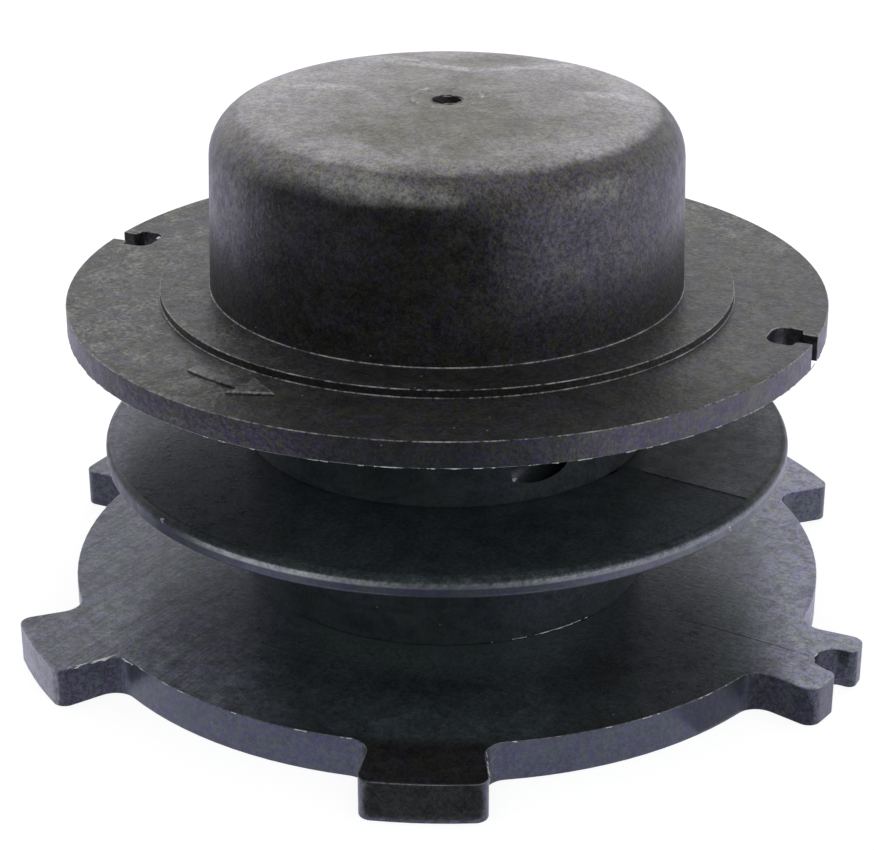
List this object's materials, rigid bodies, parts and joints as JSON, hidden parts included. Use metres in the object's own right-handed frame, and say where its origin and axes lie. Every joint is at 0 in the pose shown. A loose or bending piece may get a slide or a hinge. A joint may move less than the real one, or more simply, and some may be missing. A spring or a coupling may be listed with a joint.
{
  "type": "trimmer line spool",
  "caption": "Moulded black plastic line spool for a bump-feed trimmer head: domed bump knob, stacked winding flanges on a hollow hub and a ring of drive lugs.",
  "frame": {"origin": "centre of the drive flange's underside, on the spool's axis", "axes": "+Z along the axis towards the bump knob, +X through the notched drive lug, Y along the mould's opening direction"},
  "size_m": [0.0981, 0.0898, 0.0576],
  "materials": {
    "spool_plastic": "satin moulded black, with scuffs and pale worn edges"
  },
  "bodies": {
    "root": {"spool": "spool_plastic"}
  },
  "joints": []
}
